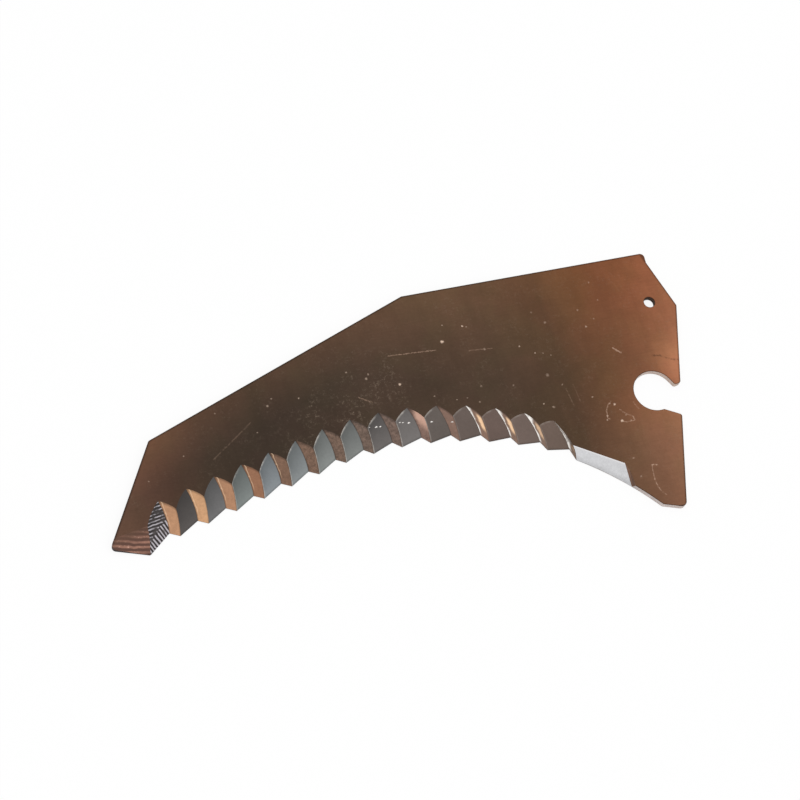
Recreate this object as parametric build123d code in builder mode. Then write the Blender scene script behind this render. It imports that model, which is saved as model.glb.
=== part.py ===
"""Silage knife: one flat steel blade with a serrated edge, a straight bevel, a pivot notch and a hole.

The blade lies flat, its back face on z = 0 and its bevelled front face up. The origin is the centre
of the pivot notch on the back face. +X runs along the long top edge toward the notch end, and +Y
runs from the serrated edge toward that top edge. All sizes are in millimetres.
"""
import os
from math import cos, degrees, radians, sin, sqrt, tan

from build123d import *

os.makedirs("parts", exist_ok=True)

# Blade over its sharp corners
blade_length = 432.6
blade_width = 193.4
plate_thickness = 4.5
edge_round_radius = 0.4

# Outline, as plan positions and an angle in degrees; the top edge and the tip follow from the blade's
# width and length
top_right_x = 27.5
top_bend_x = -156.0
chamfer_top = (27.0, 97.6)
right_bend = (37.9, 60.7)
right_edge_lean = 16.5
bottom_right_y = -88.0
heel_corner = (-21.8, -82.7)
heel_arc_radius = 226.0

# Free end, as steps from the tip's sharp corner to the bend of the left edge and to the first valley,
# and from that valley to the tip's heel
left_bend_step = (41.6, 68.9)
first_valley_step = (40.3, 3.7)
tip_heel_step = (-15.6, -12.3)

# Corner radii of the outline
tip_radius = 3.0
tip_heel_radius = 1.5
left_bend_radius = 3.0
top_right_radius = 3.2
hook_inner_radius = 1.8
hook_outer_radius = 1.8
mouth_corner_radius = 2.0
bottom_right_radius = 4.0
heel_corner_radius = 2.0

# Pivot notch, with its mouth toward the right edge
notch_radius = 15.0
hook_start_angle = 28.0
hook_inner_length = 6.4
hook_outer_y = 2.5
mouth_start_x = 2.3
mouth_corner_y = -21.3

# Fixing hole
hole_radius = 4.0
hole_position = (19.0, 66.8)

# Serrated edge: its valleys follow a straight stretch from the tip and then an arc to the last groove
groove_count = 15
edge_angle = 13.06
edge_arc_start = (-241.9, -4.9)
edge_arc_radius = 238.0
edge_arc_length = 175.1
edge_land = 0.35

# One groove: a long flank, a valley line and a short flank that falls to the tooth tip
tip_distance = 7.45
tip_angle = -39.6
valley_run = (-2.8, 22.0)
ridge_run = (1.0, 17.5)
run_turn = 0.6
valley_bow = (1.3, 0.0)
ridge_bow = (0.5, 0.0)
flank_bow = 0.9
first_ridge_run = (2.2, 18.7)
last_ridge_run = (-0.3, 9.4)
last_ridge_step = (2.3, -8.6)

# Tip bevel, a flat ground face at the free end
tip_bevel_angle = 9.4
tip_bevel_length = 35.0

# Straight bevel between the grooves and the heel: its far corner, the bend and the end of its steep
# end wall, each as a step from the last ridge on the back face, then the run to the front face
bevel_corner_step = (32.1, -26.6)
bevel_corner_run = (-0.8, 15.8)
wall_bend_step = (32.4, -29.7)
wall_bend_run = (0.7, 13.3)
wall_end_step = (32.4, -43.2)
wall_end_run = (1.2, 13.2)

# Cutting shapes: how far their flanks and levels reach, as shares of the way to a ridge and up to the
# front face, with the middle of both, and how far they stand past the edge
flank_reach = 1.25
middle_share = 0.5
low_level = -0.15
high_level = 1.15
corner_overrun = 3.0
cutter_depth = 45.0

quarter_turn = 90.0
upright_limit = 0.01


def add(point, step, scale=1.0):
    """Plan position reached from a point by a scaled step."""
    return (point[0] + scale * step[0], point[1] + scale * step[1])


def unit(start, end):
    """Unit plan vector from one position to another."""
    length = sqrt((end[0] - start[0]) ** 2 + (end[1] - start[1]) ** 2)
    return ((end[0] - start[0]) / length, (end[1] - start[1]) / length)


def heading(angle):
    """Unit plan vector at an angle in degrees from +X."""
    return (cos(radians(angle)), sin(radians(angle)))


def turned(vector, angle):
    """Plan vector turned counterclockwise by an angle in degrees."""
    across = (-vector[1], vector[0])
    return add((vector[0] * cos(radians(angle)), vector[1] * cos(radians(angle))), across, sin(radians(angle)))


def edge_heading(groove):
    """Angle of the edge curve at a groove, in degrees."""
    arc_length = max(groove * groove_pitch - edge_straight_length, 0.0)
    return edge_angle - degrees(arc_length / edge_arc_radius)


def valley(groove):
    """Back face position of a groove's valley, on the edge curve."""
    straight = min(groove * groove_pitch, edge_straight_length)
    start = add(first_valley, heading(edge_angle), straight)
    centre = add(start, heading(edge_angle - quarter_turn), edge_arc_radius)
    return add(centre, heading(edge_heading(groove) + quarter_turn), edge_arc_radius)


def ridge(groove):
    """Back face position of the ridge that ends a groove; groove -1 stands for the tip's own ridge."""
    if groove < 0:
        return tip_heel
    if groove == groove_count - 1:
        return add(valley(groove), last_ridge_step)
    return add(valley(groove), heading(edge_heading(groove) + tip_angle), tip_distance)


def ridge_rise(groove):
    """Plan step of a ridge from the back face to the front face."""
    if groove < 0:
        return first_ridge_run
    if groove == groove_count - 1:
        return last_ridge_run
    return turned(ridge_run, groove * run_turn)


def bowed(start, step, bow, share):
    """Plan position at a share of a step whose middle stands off the straight line by a bow."""
    return add(add(start, step, share), bow, 4.0 * share * (1.0 - share))


def flank(middle, end, side, share):
    """Middle and overrun end of a bowed flank, which bows toward its plan side and the front face."""
    step = (end[0] - middle[0], end[1] - middle[1])
    bow = add((0.0, 0.0), turned(unit(middle, end), side), flank_bow * share)
    return bowed(middle, step, bow, middle_share), bowed(middle, step, bow, flank_reach)


def groove_section(groove, share):
    """Corners and flank middles of a groove's cutting shape at a share of the climb."""
    middle = bowed(valley(groove), turned(valley_run, groove * run_turn), valley_bow, share)
    left_ridge = bowed(ridge(groove - 1), ridge_rise(groove - 1), ridge_bow, share)
    right_ridge = bowed(ridge(groove), ridge_rise(groove), ridge_bow, share)
    left = flank(middle, left_ridge, -quarter_turn, share)
    right = flank(middle, right_ridge, quarter_turn, share)
    return (*left, middle, *right)


def tip_section(share):
    """Corners of the tip bevel's cutting shape at a share of the climb."""
    along = heading(tip_bevel_angle)
    outward = heading(tip_bevel_angle - quarter_turn)
    start = add(tip_heel, first_ridge_run, share)
    right = add(start, along, corner_overrun)
    left = add(start, along, -tip_bevel_length)
    return (left, right, add(right, outward, cutter_depth), add(left, outward, cutter_depth))


def bevel_section(share):
    """Corners of the straight bevel's cutting shape at a share of the climb."""
    down = (0.0, -cutter_depth)
    start = add(blade_heel, last_ridge_run, share)
    corner = add(add(blade_heel, bevel_corner_step), bevel_corner_run, share)
    bend = add(add(blade_heel, wall_bend_step), wall_bend_run, share)
    end = add(add(blade_heel, wall_end_step), wall_end_run, share)
    start = add(start, unit(corner, start), corner_overrun)
    return (start, corner, bend, end, add(end, down), add(start, down))


def level_height(share):
    """Height of a level, from the top of the edge land at 0 to the front face at 1."""
    return edge_land + share * (plate_thickness - edge_land)


def on_right_edge(y):
    """Position on the right edge at a given y."""
    return (right_bend[0] - (right_bend[1] - y) * tan(radians(right_edge_lean)), y)


# Free end, and the spacing of the grooves that fills the edge
tip_corner_x = right_bend[0] - blade_length
edge_run = edge_arc_start[0] - tip_corner_x - first_valley_step[0]
edge_straight_length = edge_run / cos(radians(edge_angle))
groove_pitch = (edge_straight_length + edge_arc_length) / (groove_count - 1)
first_valley = add(edge_arc_start, heading(edge_angle), -edge_straight_length)
tip_corner = add(first_valley, first_valley_step, -1.0)
tip_heel = add(first_valley, tip_heel_step)
left_bend = add(tip_corner, left_bend_step)

# Other outline corners
top_edge_y = bottom_right_y + blade_width
top_right = (top_right_x, top_edge_y)
top_bend = (top_bend_x, top_edge_y)
bottom_right = on_right_edge(bottom_right_y)
mouth_corner = on_right_edge(mouth_corner_y)
hook_outer_corner = on_right_edge(hook_outer_y)
mouth_start = (mouth_start_x, -sqrt(notch_radius**2 - mouth_start_x**2))
hook_start = add((0.0, 0.0), heading(hook_start_angle), notch_radius)
hook_inner_corner = add(hook_start, heading(hook_start_angle - quarter_turn), hook_inner_length)
blade_heel = ridge(groove_count - 1)
serration = [tip_heel]
for groove in range(groove_count):
    serration += [valley(groove), ridge(groove)]
rounded_corners = (
    (tip_corner, tip_radius),
    (tip_heel, tip_heel_radius),
    (left_bend, left_bend_radius),
    (top_right, top_right_radius),
    (hook_inner_corner, hook_inner_radius),
    (hook_outer_corner, hook_outer_radius),
    (mouth_corner, mouth_corner_radius),
    (bottom_right, bottom_right_radius),
    (heel_corner, heel_corner_radius),
)

with BuildPart() as knife_blade:
    # Plate with the serrated outline, the notch and the hole
    with BuildSketch(Plane.XY) as outline:
        with BuildLine():
            Polyline(*serration)
            RadiusArc(blade_heel, heel_corner, heel_arc_radius)
            Polyline(heel_corner, bottom_right, mouth_corner, mouth_start)
            ThreePointArc(mouth_start, (-notch_radius, 0.0), hook_start)
            Polyline(hook_start, hook_inner_corner, hook_outer_corner, right_bend, chamfer_top)
            Polyline(chamfer_top, top_right, top_bend, left_bend, tip_corner, tip_heel)
        make_face()
        for corner, radius in rounded_corners:
            fillet(outline.vertices().sort_by_distance((*corner, 0.0))[0], radius)
        with Locations(hole_position):
            Circle(hole_radius, mode=Mode.SUBTRACT)
    extrude(amount=plate_thickness)

    # Grooves, each one lofted through three levels of the plate
    for groove in range(groove_count):
        for share in (low_level, middle_share, high_level):
            left_bow, left, middle, right_bow, right = groove_section(groove, share)
            outward = heading(edge_heading(groove) - quarter_turn)
            outer_left = add(left, outward, cutter_depth)
            outer_right = add(right, outward, cutter_depth)
            with BuildSketch(Plane.XY.offset(level_height(share))):
                with BuildLine():
                    ThreePointArc(left, left_bow, middle)
                    ThreePointArc(middle, right_bow, right)
                    Polyline(right, outer_right, outer_left, left)
                make_face()
        loft(mode=Mode.SUBTRACT)

    # Tip bevel and straight bevel, each one lofted through two levels
    for section in (tip_section, bevel_section):
        for share in (low_level, high_level):
            with BuildSketch(Plane.XY.offset(level_height(share))):
                with BuildLine():
                    Polyline(*section(share), close=True)
                make_face()
        loft(ruled=True, mode=Mode.SUBTRACT)

    # Slightly rounded front edges where the front face meets an upright wall
    front_face = faces().filter_by(Axis.Z).sort_by(Axis.Z)[-1]
    upright_walls = faces().filter_by(lambda face: abs(face.normal_at().Z) < upright_limit)
    fillet(front_face.edges() & upright_walls.edges(), edge_round_radius)

knife_blade.part.label = "knife_blade"
export_step(knife_blade.part, "parts/knife_blade.step")
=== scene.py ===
"""Look of the silage knife: brown mill skin, ground grooves and bevels, on a plain pale floor.

Everything is in metres in the CAD frame: the blade lies on z = 0 with its bevelled face up, the
pivot notch's centre is the origin and +X runs along the long top edge. Patterns inside the
materials, and the marks on the skin, are placed in millimetres of that frame.
"""
import math

import bpy
from mathutils import Matrix, Vector


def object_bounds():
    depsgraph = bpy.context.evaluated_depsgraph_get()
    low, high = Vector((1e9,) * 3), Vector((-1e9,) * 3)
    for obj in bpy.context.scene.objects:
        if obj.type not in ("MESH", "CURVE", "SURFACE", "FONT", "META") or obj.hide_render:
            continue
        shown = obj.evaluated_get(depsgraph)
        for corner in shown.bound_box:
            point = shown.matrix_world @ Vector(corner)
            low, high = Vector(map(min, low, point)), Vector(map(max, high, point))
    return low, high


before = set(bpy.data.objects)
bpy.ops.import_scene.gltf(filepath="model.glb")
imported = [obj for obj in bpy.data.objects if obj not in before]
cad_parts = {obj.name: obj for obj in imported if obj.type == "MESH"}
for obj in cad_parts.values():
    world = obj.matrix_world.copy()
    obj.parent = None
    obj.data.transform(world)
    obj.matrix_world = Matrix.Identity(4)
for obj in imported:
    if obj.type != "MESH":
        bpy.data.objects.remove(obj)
cad_low, cad_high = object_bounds()
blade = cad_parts["knife_blade"]

MM = 0.001
WHITE = (1.0, 1.0, 1.0)

# Camera, solved from the notch, the hole and the grooves in the photograph
camera_place = Vector((-0.6005, -0.5466, 1.3955))
camera_right = Vector((0.94575, -0.27517, 0.17273))
camera_up = Vector((0.18125, 0.88809, 0.42242))
camera_lens = 103.5
camera_sensor = 36.0

# Plan of the blade in millimetres: its ends, the line of its upper left edge and its top edge
tip_x = cad_low.x / MM
notch_end_x = cad_high.x / MM
top_y = cad_high.y / MM
upper_left_edge = (-353.1, 34.2, 19.85)
outline_edges = (
    upper_left_edge,
    (-353.1, 34.2, 59.0),
    (27.0, 97.6, -73.5),
    (37.9, 60.7, -106.5),
    (-10.1, -86.9, 180.0),
)

hole_place = (19.0, 66.8)

# Serrated edge: a straight stretch, then an arc from this position at this heading
arc_start = (-241.9, -4.9)
arc_radius = 238.0
arc_start_heading = 13.06
groove_count = 15
groove_band_width = 27.0
tip_ridge_x = -369.8
last_ridge_x = -69.8
plate_top = 4.5

# Kinds of surface, from the direction of a face
level_limit = 0.999
upright_limit = 0.06
flank_divide = -95.0
wall_facing = -0.9
bevel_facing = -0.82

# Light marks on the front face: position, radius and strength
specks = (
    (-137.5, 65.9, 1.5, 1.0),
    (-133.8, 78.1, 0.6, 0.6),
    (-120.1, 74.7, 0.9, 0.9),
    (-117.5, 73.5, 0.6, 0.5),
    (-175.9, 40.3, 1.1, 0.9),
    (-84.7, 51.8, 0.7, 0.6),
    (-75.4, 44.6, 0.7, 0.7),
    (-69.7, 43.5, 0.5, 0.6),
    (-64.6, 40.9, 0.6, 0.4),
    (-31.8, -4.5, 1.1, 0.9),
    (-34.9, -3.3, 0.6, 0.5),
    (-30.5, -17.3, 1.2, 1.0),
    (-26.2, -13.8, 0.6, 0.5),
    (-24.1, -18.3, 0.7, 0.4),
    (-39.7, -12.0, 0.8, 0.5),
    (-40.5, -14.6, 0.8, 0.5),
    (-45.5, 4.1, 0.8, 0.5),
    (-63.6, 17.5, 0.9, 0.3),
    (-71.8, 26.6, 1.6, 0.25),
    (-81.2, 6.1, 0.8, 0.6),
    (-75.0, 2.4, 1.2, 0.35),
    (-140.0, 21.4, 0.6, 0.5),
    (-132.5, 21.1, 0.6, 0.4),
    (-154.7, 26.9, 0.8, 0.4),
    (-124.8, 16.4, 0.9, 0.3),
    (-120.4, 27.7, 1.1, 0.25),
    (-97.7, 24.0, 0.9, 0.25),
    (-109.7, 54.6, 1.1, 0.3),
    (-32.8, 57.0, 0.9, 0.5),
    (-25.4, 62.0, 0.8, 0.25),
    (-34.8, 70.9, 0.9, 0.25),
    (-18.0, 75.7, 0.9, 0.25),
    (-19.9, 90.2, 0.9, 0.3),
    (-61.0, 66.0, 1.1, 0.25),
    (-68.4, 75.4, 1.0, 0.2),
    (-31.5, -45.8, 0.9, 0.3),
    (-30.7, -59.9, 0.9, 0.3),
    (-265.2, 47.5, 0.8, 0.4),
    (-269.1, 42.7, 1.0, 0.4),
    (-246.8, 44.2, 0.7, 0.6),
    (-280.6, 25.3, 0.7, 0.5),
    (-332.9, 18.6, 0.7, 0.4),
    (-359.7, 6.0, 0.7, 0.3),
    (-209.7, 56.4, 0.8, 0.5),
    (-197.5, 49.1, 1.1, 0.4),
    (-195.3, 52.0, 0.7, 0.4),
    (-305.1, 44.4, 0.7, 0.3),
)

# Light scratches on the front face: width, strength and the positions they run through
scratches = (
    (0.8, 0.8, (-20.6, -53.3), (-16.5, -54.0)),
    (0.5, 0.5, (-20.6, -53.7), (-21.9, -64.0), (-21.4, -69.5), (-19.8, -74.0), (-17.3, -76.3)),
    (0.8, 0.7, (-19.2, 37.4), (-14.5, 32.9)),
    (0.5, 0.45, (-177.9, 62.7), (-160.0, 61.6), (-143.8, 60.4)),
    (0.7, 0.13, (-314.2, 12.2), (-299.0, 22.5), (-283.5, 33.2)),
    (0.6, 0.3, (-206.4, 36.5), (-198.1, 31.0)),
    (0.6, 0.22, (-121.0, 55.6), (-104.5, 54.2)),
    (0.6, 0.45, (-33.6, -1.7), (-36.6, -3.9), (-39.0, -8.1), (-39.8, -13.4), (-38.4, -14.7)),
    (0.6, 0.5, (-30.7, -17.6), (-26.7, -19.0), (-21.3, -18.7), (-21.6, -15.7)),
    (0.6, 0.35, (-21.6, -15.7), (-25.5, -13.2), (-27.4, -11.4), (-29.3, -8.9)),
    (0.6, 0.3, (-17.8, -5.4), (-17.2, -7.9), (-15.6, -10.7)),
    (0.7, 0.12, (-62.0, 14.0), (-60.5, 0.0)),
    (0.6, 0.1, (-56.0, 16.0), (-55.0, 3.0)),
)

# Dark line on the front face, written the same way
smudges = (
    (1.0, 0.5, (7.0, 26.3), (12.7, 25.1), (17.6, 21.6), (24.3, 19.6)),
)

# White flecks on the flanks: position and radius
flank_flecks = (
    (-205.1, 13.8, 0.8),
    (-200.3, 13.4, 1.4),
    (-197.3, 13.2, 1.2),
    (-183.7, 13.0, 0.9),
    (-181.6, 12.7, 1.2),
    (-177.1, 12.0, 1.4),
    (-161.7, 9.4, 1.1),
    (-147.6, 6.5, 1.1),
)

speck_strength = 0.75


def srgb(red, green, blue):
    """Linear colour of three display values from 0 to 255."""
    values = [c / 255 for c in (red, green, blue)]
    return tuple(c / 12.92 if c <= 0.04045 else ((c + 0.055) / 1.055) ** 2.4 for c in values)


class Graph:
    """Shader nodes of one material, made by short calls that take numbers, colours or sockets."""

    def __init__(self, name):
        self.material = bpy.data.materials.new(name)
        self.material.use_nodes = True
        self.tree = self.material.node_tree
        self.tree.nodes.clear()
        self.output = self.node("ShaderNodeOutputMaterial")
        place = self.node("ShaderNodeTexCoord").outputs["Object"]
        self.place = self.vector("MULTIPLY", place, (1 / MM,) * 3)
        self.x, self.y, self.z = self.node("ShaderNodeSeparateXYZ", {"Vector": self.place}).outputs
        self.plan = self.vector("MULTIPLY", self.place, (1.0, 1.0, 0.0))

    def node(self, kind, inputs=None, **settings):
        made = self.tree.nodes.new(kind)
        for name, value in settings.items():
            setattr(made, name, value)
        for name, value in (inputs or {}).items():
            self.feed(made.inputs[name], value)
        return made

    def feed(self, socket, value):
        if isinstance(value, bpy.types.NodeSocket):
            self.tree.links.new(value, socket)
        elif socket.type == "RGBA" and len(value) == 3:
            socket.default_value = (*value, 1.0)
        else:
            socket.default_value = value

    def math(self, operation, a, b=0.0, clamp=False):
        made = self.node("ShaderNodeMath", operation=operation, use_clamp=clamp)
        self.feed(made.inputs[0], a)
        self.feed(made.inputs[1], b)
        return made.outputs[0]

    def near(self, value, centre, reach):
        """1 within a reach of a centre, and 0 farther off."""
        return self.math("LESS_THAN", self.math("ABSOLUTE", self.math("SUBTRACT", value, centre)), reach)

    def product(self, first, *others):
        for other in others:
            first = self.math("MULTIPLY", first, other)
        return first

    def vector(self, operation, a, b=(0.0, 0.0, 0.0)):
        made = self.node("ShaderNodeVectorMath", operation=operation)
        self.feed(made.inputs[0], a)
        self.feed(made.inputs[1], b)
        plain = operation in ("DOT_PRODUCT", "LENGTH", "DISTANCE")
        return made.outputs["Value" if plain else "Vector"]

    def span(self, value, low, high, start=0.0, end=1.0, smooth=True):
        """Value carried from one range to another and held at its ends."""
        made = self.node("ShaderNodeMapRange", interpolation_type="SMOOTHSTEP" if smooth else "LINEAR")
        for name, number in (("Value", value), ("From Min", low), ("From Max", high)):
            self.feed(made.inputs[name], number)
        self.feed(made.inputs["To Min"], start)
        self.feed(made.inputs["To Max"], end)
        return made.outputs["Result"]

    def noise(self, scale, detail=3.0, stretch=(1.0, 1.0, 1.0), turn=0.0, roughness=0.55):
        """Noise from 0 to 1, with so many features to a millimetre, stretched and turned in plan."""
        placed = self.node(
            "ShaderNodeMapping",
            {"Vector": self.place, "Rotation": (0.0, 0.0, math.radians(turn)), "Scale": stretch},
        ).outputs[0]
        inputs = {"Vector": placed, "Scale": scale, "Detail": detail, "Roughness": roughness}
        return self.node("ShaderNodeTexNoise", inputs).outputs["Fac"]

    def waves(self, pitch, turn, distortion):
        """Stripes from 0 to 1 at a pitch in millimetres, crossing the direction at an angle in plan."""
        placed = self.node(
            "ShaderNodeMapping", {"Vector": self.place, "Rotation": (0.0, 0.0, math.radians(-turn))}
        ).outputs[0]
        stripe_scale = 0.314 / pitch
        inputs = {"Vector": placed, "Scale": stripe_scale, "Distortion": distortion, "Detail": 2.0}
        wave = self.node("ShaderNodeTexWave", inputs, bands_direction="X")
        return wave.outputs["Fac"]

    def vary(self, amount, *noise, **settings):
        """Factor about 1 that noise moves up and down by an amount."""
        return self.span(self.noise(*noise, **settings), 0.3, 0.7, 1 - amount, 1 + amount, smooth=False)

    def ramp(self, value, stops, smooth=False):
        """Colour along a value, from (value, colour) stops."""
        made = self.node("ShaderNodeValToRGB", {"Fac": value})
        made.color_ramp.interpolation = "EASE" if smooth else "LINEAR"
        elements = made.color_ramp.elements
        while len(elements) < len(stops):
            elements.new(1.0)
        for element, (position, colour) in zip(elements, stops):
            element.position = position
            element.color = (*colour, 1.0)
        return made.outputs["Color"]

    def mix(self, factor, a, b, blend="MIX"):
        made = self.node("ShaderNodeMix", data_type="RGBA", blend_type=blend)
        self.feed(made.inputs[0], factor)
        self.feed(made.inputs[6], a)
        self.feed(made.inputs[7], b)
        return made.outputs[2]

    def scaled(self, colour, amount):
        """Colour or direction scaled by a factor."""
        made = self.node("ShaderNodeVectorMath", operation="SCALE")
        self.feed(made.inputs[0], colour)
        self.feed(made.inputs["Scale"], amount)
        return made.outputs["Vector"]

    def attribute(self, name):
        return self.node("ShaderNodeAttribute", attribute_name=name).outputs["Fac"]

    def bump(self, height, strength, distance):
        """Normal of a bumped surface, with the height's reach in millimetres."""
        inputs = {"Height": height, "Strength": strength, "Distance": distance * MM}
        return self.node("ShaderNodeBump", inputs).outputs["Normal"]

    def surface(self, colour, metallic, roughness, normal=None):
        inputs = {"Base Color": colour, "Metallic": metallic, "Roughness": roughness}
        shader = self.node("ShaderNodeBsdfPrincipled", inputs)
        if normal:
            self.feed(shader.inputs["Normal"], normal)
        self.tree.links.new(shader.outputs[0], self.output.inputs["Surface"])
        return self.material


def along_blade(g):
    """Share of the blade's length, 0 at the tip and 1 at the notch end."""
    return g.span(g.x, tip_x, notch_end_x, smooth=False)


def blade_share(x):
    """Share of the blade's length at a position in millimetres."""
    return (x - tip_x) / (notch_end_x - tip_x)


def edge_distance(g, x, y, angle):
    """Distance into the blade from a straight edge through a plan position at an angle."""
    inward = (math.sin(math.radians(angle)), -math.cos(math.radians(angle)), 0.0)
    offset = x * inward[0] + y * inward[1]
    return g.math("SUBTRACT", g.vector("DOT_PRODUCT", g.place, inward), offset)


def upper_edge_distance(g):
    """Distance from the nearer one of the two upper edges."""
    return g.math("MINIMUM", edge_distance(g, *upper_left_edge), g.math("SUBTRACT", top_y, g.y))


def outline_distance(g):
    """Distance from the nearest straight edge of the outline."""
    nearest_edge = g.math("SUBTRACT", top_y, g.y)
    for edge in outline_edges:
        nearest_edge = g.math("MINIMUM", nearest_edge, edge_distance(g, *edge))
    return nearest_edge


def skin_colour_and_painted_light(g):
    """Brown mill skin of the plate: darkest low in the middle, lighter by the upper edges, copper right. This broad
    gradient is partly the oxide's own tone and partly painted reflection; the dark band along the outline is painted
    shade.
    """
    stops = (
        (-388.0, (100, 72, 58)),
        (-350.0, (79, 58, 46)),
        (-318.0, (66, 52, 42)),
        (-275.0, (58, 47, 38)),
        (-200.0, (69, 55, 44)),
        (-105.0, (73, 57, 44)),
        (-60.0, (77, 57, 41)),
        (-28.0, (100, 68, 46)),
        (8.0, (127, 83, 58)),
        (36.0, (147, 98, 71)),
    )
    colour = g.ramp(along_blade(g), [(blade_share(x), srgb(*tone)) for x, tone in stops])
    # Lighter towards the upper edges and at the heel: partly the oxide's tone, partly painted reflection.
    reach = g.span(g.x, -220.0, -120.0, 32.0, 78.0)
    strength = g.span(g.x, -60.0, 0.0, 0.62, -0.1)
    nearness = g.math("SUBTRACT", 1.0, g.math("DIVIDE", upper_edge_distance(g), reach), clamp=True)
    lift = g.math("ADD", 1.0, g.product(nearness, strength))
    heel_lift = g.product(g.span(g.y, 30.0, -20.0), g.span(g.x, -90.0, -20.0), 0.3)
    # Copper glow around the notch end: painted reflection over the oxide's copper tone.
    painted_hook_glow = g.product(g.span(g.vector("DISTANCE", g.plan, (30.0, 16.0, 0.0)), 34.0, 0.0), 0.75)
    lift = g.math("ADD", lift, g.math("ADD", heel_lift, painted_hook_glow))
    patches = g.vary(0.09, 0.018, 4.0)
    streaks = g.vary(0.035, 0.9, 3.0, stretch=(0.08, 1.0, 1.0))
    drops = g.vary(0.04, 0.16, 3.0, stretch=(1.0, 0.12, 1.0), turn=-8.0)
    grain = g.vary(0.06, 0.45, 5.0, roughness=0.7)
    # Painted shade: the skin darkens to half within 1.7 mm of the outline, along the rounded edges.
    painted_edge_shade = g.span(outline_distance(g), 0.4, 1.7, 0.5, 1.0)
    colour = g.scaled(colour, g.product(lift, patches, streaks, drops, grain, painted_edge_shade))
    warmed = g.vector("MULTIPLY", colour, (1.12, 0.97, 0.84))
    colour = g.mix(nearness, colour, warmed)
    ruddy = g.vector("MULTIPLY", colour, (1.03, 0.985, 1.0))
    plain = g.vector("MULTIPLY", colour, (0.985, 1.005, 0.97))
    colour = g.mix(g.span(g.noise(0.03, 3.0), 0.4, 0.62), ruddy, plain)
    greyed = g.vector("MULTIPLY", colour, (0.93, 1.06, 1.2))
    return g.mix(g.product(g.span(g.y, 0.0, -45.0), g.span(g.x, -60.0, -20.0)), colour, greyed)


def ragged_plan(g):
    """Plan position pushed about a little, so that marks get ragged rims."""
    push = g.node("ShaderNodeTexNoise", {"Vector": g.place, "Scale": 0.9, "Detail": 2.0}).outputs["Color"]
    push = g.vector("MULTIPLY", g.vector("SUBTRACT", push, (0.5, 0.5, 0.5)), (1.6, 1.6, 0.0))
    return g.vector("ADD", g.plan, push)


def speck_mask(g):
    """Small light dents and chips, soft at their rims."""
    total = None
    ragged = ragged_plan(g)
    for x, y, radius, strength in specks:
        distance = g.vector("DISTANCE", ragged, (x, y, 0.0))
        spot = g.span(distance, radius * 1.1, radius * 0.2, 0.0, strength * speck_strength)
        total = spot if total is None else g.math("MAXIMUM", total, spot)
    return total


def line_mask(g, lines):
    """Lines through plan positions, soft and broken up along their length."""
    total = None
    ragged = ragged_plan(g)
    for width, strength, *places in lines:
        for (x1, y1), (x2, y2) in zip(places, places[1:]):
            length = math.hypot(x2 - x1, y2 - y1)
            along = ((x2 - x1) / length, (y2 - y1) / length, 0.0)
            offset = g.vector("SUBTRACT", ragged, (x1, y1, 0.0))
            reach = g.math("MINIMUM", g.math("MAXIMUM", g.vector("DOT_PRODUCT", offset, along), 0.0), length)
            distance = g.vector("DISTANCE", offset, g.scaled(along, reach))
            line = g.span(distance, width, width * 0.2, 0.0, strength)
            total = line if total is None else g.math("MAXIMUM", total, line)
    return g.product(total, g.span(g.noise(0.5, 3.0), 0.35, 0.58, 0.15, 1.0))


def dust_mask(g):
    """Fine pale flecks above the middle grooves, and a few over the whole plate."""
    flecks = g.span(g.noise(0.55, 3.0, roughness=0.75), 0.5, 0.72)
    clumps = g.span(g.noise(0.07, 4.0), 0.42, 0.6, 0.15, 1.0)
    low = g.span(g.vector("DISTANCE", g.plan, (-222.0, 14.0, 0.0)), 46.0, 12.0, 0.1, 0.5)
    middle = g.span(g.vector("DISTANCE", g.plan, (-195.0, 45.0, 0.0)), 45.0, 5.0, 0.0, 0.35)
    return g.product(flecks, clumps, g.math("MAXIMUM", low, middle))


def skin_material():
    """Front face: the brown skin with its marks."""
    g = Graph("mill_skin")
    colour = skin_colour_and_painted_light(g)
    colour = g.mix(dust_mask(g), colour, srgb(150, 132, 115))
    colour = g.mix(line_mask(g, scratches), colour, srgb(190, 158, 136))
    colour = g.mix(line_mask(g, smudges), colour, srgb(70, 46, 34))
    colour = g.mix(speck_mask(g), colour, srgb(238, 210, 188))
    roughness = g.span(g.noise(0.08, 4.0), 0.3, 0.7, 0.4, 0.5)
    normal = g.bump(g.noise(0.7, 4.0), 0.2, 0.1)
    return g.surface(colour, 0.85, roughness, normal)


def back_material():
    """Back face: the same brown skin without the front's marks, with its partly painted reflection and painted edge
    shade.
    """
    g = Graph("back_skin")
    return g.surface(skin_colour_and_painted_light(g), 0.85, 0.45, g.bump(g.noise(0.7, 4.0), 0.2, 0.1))


def groove_stops(*tones):
    """Ramp stops over the groove numbers, from (groove, display colour) pairs."""
    return [(groove / groove_count, srgb(*tone)) for groove, tone in tones]


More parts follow.
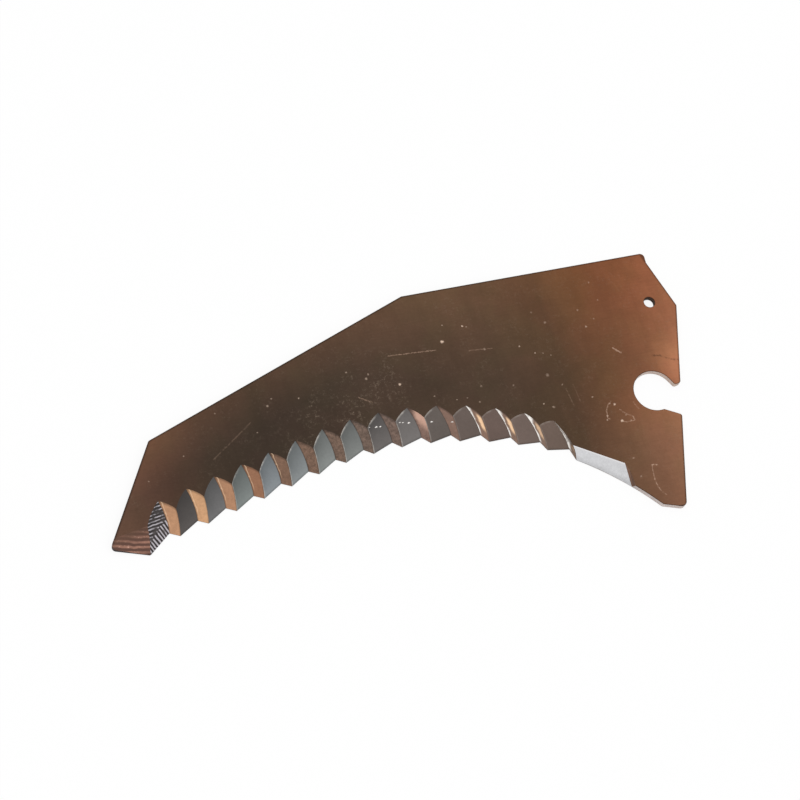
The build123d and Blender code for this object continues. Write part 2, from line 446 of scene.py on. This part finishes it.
def long_flank_material():
    """Bare ground steel of the long flanks, dark at the tip, blue grey in the middle, brownish after, a change that
    is partly painted reflection; painted shade and painted glints lie on each flank.
    """
    g = Graph("ground_steel")
    groove = g.math("DIVIDE", g.attribute("groove"), groove_count)
    climb = g.span(g.z, 0.0, plate_top, smooth=False)
    toward_ridge = g.attribute("ridge_share")
    # Tone per groove: partly the steel's own colour, partly painted reflection that changes with each flank's
    # heading.
    colour = g.ramp(groove, groove_stops(
        (0, (76, 71, 70)), (1, (78, 74, 72)), (2, (99, 98, 98)), (3, (111, 116, 114)),
        (4, (119, 124, 127)), (6, (117, 120, 118)), (7, (111, 113, 111)), (8, (94, 90, 88)),
        (9, (109, 105, 103)), (10, (98, 90, 85)), (12, (104, 88, 81)), (13, (112, 97, 90)),
        (14, (108, 92, 83)),
    ))
    # Painted shade: each flank lighter at its foot and darker towards its top, evened out on the later grooves.
    shade = g.span(climb, 0.1, 0.95, 1.35, 0.68, smooth=False)
    even = g.span(groove, 0.5, 0.7)
    shade = g.math("ADD", g.product(shade, g.math("SUBTRACT", 1.0, even)), even)
    grain = g.product(g.vary(0.05, 0.5, 5.0, roughness=0.65), g.vary(0.05, 0.08, 3.0))
    # Painted shade: dark bands at the foot of each flank and along its valley crease.
    foot = g.span(climb, 0.06, 0.16, 0.62, 1.0)
    valley_shade = g.span(toward_ridge, 0.0, 0.05, 0.75, 1.0)
    colour = g.scaled(colour, g.product(shade, grain, foot, valley_shade))
    # Painted glints: light lines along the ridge and top edges of the middle flanks.
    ridge_glint = g.span(toward_ridge, 0.93, 0.99)
    top_glint = g.product(g.span(climb, 0.93, 0.985), g.span(toward_ridge, 0.1, 0.4))
    middle_grooves = g.product(g.span(groove, 0.14, 0.24), g.span(groove, 0.72, 0.6, 0.3, 1.0))
    rim_glint = g.product(g.math("MAXIMUM", ridge_glint, top_glint), middle_grooves, 0.5)
    rim_glint = g.product(rim_glint, g.span(g.noise(0.35, 3.0), 0.35, 0.6, 0.3, 1.0))
    colour = g.mix(rim_glint, colour, srgb(205, 198, 190))
    first = g.math("LESS_THAN", groove, 0.5 / groove_count)
    lines = striations(g)
    light_lines = g.product(g.span(lines, 0.15, 0.5), first, 0.75)
    colour = g.mix(light_lines, colour, srgb(205, 200, 206))
    dark_lines = g.product(g.span(lines, -0.1, -0.5), first, 0.75)
    colour = g.mix(dark_lines, colour, srgb(42, 38, 40))
    colour = g.mix(flank_fleck_mask(g), colour, srgb(245, 240, 235))
    normal = g.bump(g.noise(1.2, 3.0), 0.15, 0.05)
    return g.surface(colour, 0.85, 0.36, normal)


def striations(g):
    """Grinding lines of the first flank from -1 to 1, steep at its foot and shallow and faint above."""
    steep = g.span(g.waves(pitch=2.3, turn=25.6, distortion=2.5), 0.0, 1.0, -1.0, 1.0)
    shallow = g.span(g.waves(pitch=2.1, turn=104.0, distortion=3.0), 0.0, 1.0, -0.45, 0.45)
    broken = g.span(g.noise(0.22, 3.0), 0.3, 0.6, 0.3, 1.0)
    low = g.span(g.z, 2.5, 1.6)
    lines = g.math("ADD", g.product(steep, low), g.product(shallow, g.math("SUBTRACT", 1.0, low)))
    return g.product(lines, broken)


def flank_fleck_mask(g):
    """White flecks, small dashes along the blade, on the flanks by the middle of the edge."""
    total = None
    ragged = g.vector("MULTIPLY", ragged_plan(g), (1.0, 2.2, 0.0))
    for x, y, radius in flank_flecks:
        distance = g.vector("DISTANCE", ragged, (x, 2.2 * y, 0.0))
        fleck = g.span(distance, radius, radius * 0.3)
        total = fleck if total is None else g.math("MAXIMUM", total, fleck)
    return total


def short_flank_material():
    """Short flanks: orange tan by the tip, dull brown in the middle, pale after, a change that is partly painted
    reflection; painted shade along their edges, a painted sheen and, on the last ones, painted gold highlight
    crescents and glints.
    """
    g = Graph("tinted_steel")
    groove = g.math("DIVIDE", g.attribute("groove"), groove_count)
    climb = g.span(g.z, 0.0, plate_top, smooth=False)
    toward_ridge = g.attribute("ridge_share")
    # Tone per groove: partly the tinted steel's own colour, partly painted reflection that changes with each flank's
    # heading.
    colour = g.ramp(groove, groove_stops(
        (0, (188, 142, 108)), (1, (206, 159, 119)), (2, (178, 133, 102)), (3, (152, 109, 83)),
        (4, (124, 95, 77)), (7, (110, 92, 81)), (8, (112, 93, 83)), (9, (128, 102, 91)),
        (11, (134, 106, 91)), (14, (126, 106, 94)),
    ))
    middle_grooves = g.product(g.span(groove, 0.2, 0.35), g.span(groove, 0.68, 0.58))
    speckle = g.span(g.noise(0.5, 5.0, roughness=0.75), 0.35, 0.65, 0.62, 1.38, smooth=False)
    speckle = g.math("ADD", g.product(speckle, middle_grooves), g.math("SUBTRACT", 1.0, middle_grooves))
    mottle = g.product(g.vary(0.13, 0.45, 5.0, roughness=0.7), g.vary(0.08, 0.1, 3.0), speckle)
    # Painted shade: darker along the valley and ridge edges and at the top of each flank.
    side_shade = g.product(g.span(toward_ridge, 0.0, 0.12, 0.4, 1.0), g.span(toward_ridge, 1.0, 0.88, 0.55, 1.0))
    top = g.span(climb, 0.88, 1.0, 1.0, 0.5)
    colour = g.scaled(colour, g.product(mottle, side_shade, top))
    thin_line = g.product(
        g.near(toward_ridge, 0.16, 0.03), g.span(climb, 0.2, 0.4), g.span(groove, 0.32, 0.26),
    )
    colour = g.mix(g.product(thin_line, 0.5), colour, srgb(238, 205, 170))
    late = g.span(groove, 10.2 / groove_count, 11 / groove_count)
    # Painted sheen: pale pink highlight on the tenth short flank.
    sheen = g.product(
        g.near(groove, 9 / groove_count, 0.5 / groove_count), g.span(toward_ridge, 0.1, 0.4), g.span(climb, 0.3, 0.8),
    )
    colour = g.mix(g.product(sheen, 0.75), colour, srgb(215, 172, 152))
    # Painted highlight: gold crescents on the last four short flanks, weaker on the final two.
    gold = g.span(groove, 12.3 / groove_count, 13.6 / groove_count, 0.95, 0.35)
    crescent_highlight = g.product(
        g.span(toward_ridge, 0.35, 0.55), g.span(toward_ridge, 0.95, 0.75),
        g.span(climb, 0.3, 0.5), g.span(climb, 0.95, 0.8), late, gold,
    )
    colour = g.mix(crescent_highlight, colour, srgb(246, 206, 165))
    # Painted glint: white line along the valley of the last short flanks, wider on the final ones.
    glint_width = g.span(groove, 11 / groove_count, 14 / groove_count, 0.2, 0.42)
    glint = g.product(
        g.span(g.math("DIVIDE", toward_ridge, glint_width), 1.0, 0.3), g.span(climb, 0.08, 0.2), late,
        g.span(g.noise(0.3, 3.0), 0.3, 0.5, 0.5, 1.0),
    )
    colour = g.mix(g.product(glint, 0.95), colour, srgb(250, 246, 240))
    colour = g.mix(flank_fleck_mask(g), colour, srgb(245, 240, 235))
    normal = g.bump(g.noise(0.8, 3.0), 0.3, 0.1)
    return g.surface(colour, 0.7, 0.4, normal)


def pale_bevel_material():
    """Straight bevel, freshly ground, a little darker at its foot, with a painted glint along its top edge."""
    g = Graph("fresh_ground_steel")
    climb = g.span(g.z, 0.0, plate_top, smooth=False)
    mottle = g.product(g.vary(0.1, 0.6, 5.0, roughness=0.75), g.vary(0.05, 0.12, 3.0))
    foot = g.span(climb, 0.08, 0.5, 0.8, 1.0)
    colour = g.scaled(srgb(206, 206, 208), g.product(mottle, foot))
    # Painted glint: light line along the bevel's top edge.
    colour = g.mix(g.span(climb, 0.9, 0.97, 0.0, 0.5), colour, srgb(240, 236, 236))
    return g.surface(colour, 0.8, 0.38)


def tip_bevel_material():
    """Tip bevel, rust brown with coarse wavy grinding ridges that fade into the skin."""
    g = Graph("rusty_ground_steel")
    climb = g.span(g.z, 0.0, plate_top, smooth=False)
    wave = g.waves(pitch=3.3, turn=77.0, distortion=2.5)
    broken = g.span(g.noise(0.25, 4.0, stretch=(0.4, 1.0, 1.0)), 0.3, 0.65, 0.35, 1.0)
    crests = g.product(g.span(wave, 0.25, 0.95), broken)
    colour = g.mix(crests, srgb(98, 70, 60), srgb(166, 122, 104))
    sparks = g.product(g.span(g.noise(0.6, 3.0), 0.6, 0.7), crests, 0.7)
    colour = g.mix(sparks, colour, srgb(235, 190, 170))
    grain = g.vary(0.1, 0.5, 5.0, roughness=0.7)
    colour = g.scaled(colour, g.product(grain, g.span(climb, 0.1, 0.22, 0.6, 1.0)))
    colour = g.mix(g.span(climb, 0.55, 1.0, 0.0, 0.8), colour, skin_colour_and_painted_light(g))
    normal = g.bump(wave, 0.3, 0.2)
    return g.surface(colour, 0.7, 0.45, normal)


def bevel_wall_material():
    """Steep end wall of the straight bevel."""
    g = Graph("bevel_wall")
    colour = g.scaled(srgb(122, 92, 76), g.vary(0.15, 0.4, 4.0))
    return g.surface(colour, 0.7, 0.45)


def cut_wall_material():
    """Cut walls of the plate: painted shade makes them dark under the teeth, at the tip and in the hole; pale by the
    heel and in the notch.
    """
    g = Graph("cut_wall")
    # Painted shade: dark from the tip to under the last teeth.
    colour = g.ramp(along_blade(g), (
        (0.0, srgb(62, 50, 45)),
        (blade_share(-80.0), srgb(70, 60, 54)),
        (blade_share(-60.0), srgb(190, 182, 178)),
        (blade_share(-20.0), srgb(232, 220, 215)),
        (1.0, srgb(214, 190, 172)),
    ))
    # Painted shade: darker inside the hole.
    hole_shade = g.span(g.vector("DISTANCE", g.plan, (*hole_place, 0.0)), 7.0, 6.0)
    colour = g.mix(hole_shade, colour, srgb(96, 76, 64))
    colour = g.scaled(colour, g.vary(0.12, 0.4, 4.0, stretch=(1.0, 1.0, 0.2)))
    return g.surface(colour, 0.6, 0.5)


def rounded_edge_material():
    """Rounded front edges: the skin's colour darkened by painted shade."""
    g = Graph("rounded_edge")
    # Painted shade: the skin's colour at about half brightness.
    colour = g.scaled(skin_colour_and_painted_light(g), g.product(g.vary(0.1, 0.3, 3.0), 0.55))
    return g.surface(colour, 0.85, 0.5)


def edge_place(x):
    """Plan y and heading in degrees of the serrated edge at a plan x."""
    start_heading = math.radians(arc_start_heading)
    if x < arc_start[0]:
        return arc_start[1] + (x - arc_start[0]) * math.tan(start_heading), arc_start_heading
    centre_x = arc_start[0] + arc_radius * math.sin(start_heading)
    centre_y = arc_start[1] - arc_radius * math.cos(start_heading)
    reach = x - centre_x
    y = centre_y + math.sqrt(arc_radius**2 - reach**2)
    return y, -math.degrees(math.asin(reach / arc_radius))


def kind_of(normal, centre):
    """Name of the surface that a face of the blade belongs to."""
    x, y, z = centre / MM
    if normal.z < -level_limit:
        return "back"
    if normal.z > level_limit:
        return "skin"
    if tip_ridge_x < x < last_ridge_x:
        edge_y, heading = edge_place(x)
        if y < edge_y + groove_band_width:
            if abs(normal.z) < upright_limit:
                return "cut_wall"
            turn = math.degrees(math.atan2(normal.y, normal.x)) - heading
            return "long_flank" if turn > flank_divide else "short_flank"
    if abs(normal.z) < upright_limit:
        return "cut_wall"
    if x < tip_ridge_x and normal.y < wall_facing * math.sqrt(1 - normal.z**2) and y < -20.0:
        return "tip_bevel"
    if last_ridge_x < x < -35.5 and y < -20.0:
        across = normal.x / math.hypot(normal.x, normal.y)
        return "bevel_wall" if across < bevel_facing else "pale_bevel"
    return "rounded_edge"


def corner_key(index):
    """Rounded position of a vertex, equal for vertices that lie on one another."""
    return tuple(round(c, 7) for c in blade.data.vertices[index].co)


def islands(faces):
    """Connected groups of faces, in order along the blade."""
    owners = {}
    for face in faces:
        for index in face.vertices:
            owners.setdefault(corner_key(index), []).append(face)
    groups, seen = [], set()
    for face in faces:
        if face.index in seen:
            continue
        group, waiting = [], [face]
        seen.add(face.index)
        while waiting:
            current = waiting.pop()
            group.append(current)
            for index in current.vertices:
                for other in owners[corner_key(index)]:
                    if other.index not in seen:
                        seen.add(other.index)
                        waiting.append(other)
        groups.append(group)
    return sorted(groups, key=lambda group: sum(face.center.x for face in group) / len(group))


def nearest(place, places):
    return min(math.dist(place, other) for other in places)


def mark_flanks(kinds):
    """Stores each flank's groove number, and the share of the way from its valley to its ridge."""
    mesh = blade.data
    groove = mesh.attributes.new("groove", "FLOAT", "FACE")
    share = mesh.attributes.new("ridge_share", "FLOAT", "CORNER")
    flanks = {}
    for kind in ("long_flank", "short_flank"):
        flanks[kind] = islands([face for face in mesh.polygons if kinds[face.index] == kind])
    keys = {
        kind: [{corner_key(i) for face in group for i in face.vertices} for group in groups]
        for kind, groups in flanks.items()
    }
    ends = [face for face in mesh.polygons if kinds[face.index] in ("tip_bevel", "pale_bevel")]
    others = {corner_key(index) for face in ends for index in face.vertices}
    for kind, groups in flanks.items():
        other = "short_flank" if kind == "long_flank" else "long_flank"
        step = -1 if kind == "long_flank" else 1
        for number, group in enumerate(groups):
            own = keys[kind][number]
            valley = own & keys[other][number]
            beyond = number + step
            ridge = own & (keys[other][beyond] if 0 <= beyond < len(groups) else others)
            for face in group:
                groove.data[face.index].value = number
                for loop in face.loop_indices:
                    key = corner_key(mesh.loops[loop].vertex_index)
                    from_valley, to_ridge = nearest(key, valley), nearest(key, ridge)
                    share.data[loop].value = from_valley / (from_valley + to_ridge)
    return {kind: len(groups) for kind, groups in flanks.items()}


def dress_blade():
    """Gives every face of the blade the material of its surface."""
    materials = {
        "skin": skin_material(),
        "back": back_material(),
        "long_flank": long_flank_material(),
        "short_flank": short_flank_material(),
        "pale_bevel": pale_bevel_material(),
        "tip_bevel": tip_bevel_material(),
        "bevel_wall": bevel_wall_material(),
        "cut_wall": cut_wall_material(),
        "rounded_edge": rounded_edge_material(),
    }
    blade.data.materials.clear()
    names = list(materials)
    for name in names:
        blade.data.materials.append(materials[name])
    kinds = [kind_of(face.normal, face.center) for face in blade.data.polygons]
    for face in blade.data.polygons:
        face.material_index = names.index(kinds[face.index])
    print("FLANKS", mark_flanks(kinds), {n: kinds.count(n) for n in names})


def make_camera():
    """Camera at the photograph's place and angle."""
    data = bpy.data.cameras.new("camera")
    data.lens = camera_lens
    data.sensor_width = camera_sensor
    data.clip_end = 10.0
    camera = bpy.data.objects.new("camera", data)
    bpy.context.scene.collection.objects.link(camera)
    back = camera_right.cross(camera_up)
    turn = Matrix((camera_right, camera_up, back)).transposed()
    camera.matrix_world = Matrix.Translation(camera_place) @ turn.to_4x4()
    bpy.context.scene.camera = camera


def make_world():
    """Even white surroundings, at full strength for the camera and for reflections."""
    world = bpy.data.worlds.new("studio")
    bpy.context.scene.world = world
    world.use_nodes = True
    tree = world.node_tree
    tree.nodes.clear()
    path = tree.nodes.new("ShaderNodeLightPath")
    seen = path.outputs["Is Camera Ray"]
    for name in ("Is Glossy Ray", "Is Transmission Ray"):
        either = tree.nodes.new("ShaderNodeMath")
        either.operation = "MAXIMUM"
        tree.links.new(seen, either.inputs[0])
        tree.links.new(path.outputs[name], either.inputs[1])
        seen = either.outputs[0]
    strength = tree.nodes.new("ShaderNodeMapRange")
    strength.inputs["To Min"].default_value = 0.7
    strength.inputs["To Max"].default_value = 1.0
    tree.links.new(seen, strength.inputs["Value"])
    background = tree.nodes.new("ShaderNodeBackground")
    background.inputs["Color"].default_value = (*WHITE, 1.0)
    tree.links.new(strength.outputs[0], background.inputs["Strength"])
    output = tree.nodes.new("ShaderNodeOutputWorld")
    tree.links.new(background.outputs[0], output.inputs["Surface"])


def make_lamp(name, place, size, power):
    """Square soft lamp aimed at the middle of the blade."""
    data = bpy.data.lights.new(name, "AREA")
    data.size = size
    data.energy = power
    lamp = bpy.data.objects.new(name, data)
    bpy.context.scene.collection.objects.link(lamp)
    lamp.location = place
    middle = (cad_low + cad_high) / 2
    lamp.rotation_euler = (middle - Vector(place)).to_track_quat("-Z", "Y").to_euler()


def make_floor():
    """Pale floor that shows white and keeps the blade's shadow."""
    floor_side = 6.0
    floor_drop = 0.0002
    bpy.ops.mesh.primitive_plane_add(size=floor_side, location=(-0.18, 0.0, -floor_drop))
    floor = bpy.context.object
    floor.name = "floor"
    g = Graph("floor")
    path = g.node("ShaderNodeLightPath")
    diffuse = g.node("ShaderNodeBsdfDiffuse", {"Color": (0.88, 0.88, 0.88)})
    glow = g.node("ShaderNodeEmission", {"Color": WHITE, "Strength": 1.08})
    shader = g.node("ShaderNodeMixShader", {"Fac": g.math("MULTIPLY", path.outputs["Is Camera Ray"], 0.8)})
    g.tree.links.new(diffuse.outputs[0], shader.inputs[1])
    g.tree.links.new(glow.outputs[0], shader.inputs[2])
    g.tree.links.new(shader.outputs[0], g.output.inputs["Surface"])
    floor.data.materials.append(g.material)


make_camera()
make_world()
make_lamp("key", (0.9, 0.7, 1.6), 1.2, 1.6)
make_lamp("fill", (-0.9, -0.6, 1.5), 1.4, 1.4)
make_floor()
dress_blade()
bpy.context.scene.view_settings.view_transform = "Standard"
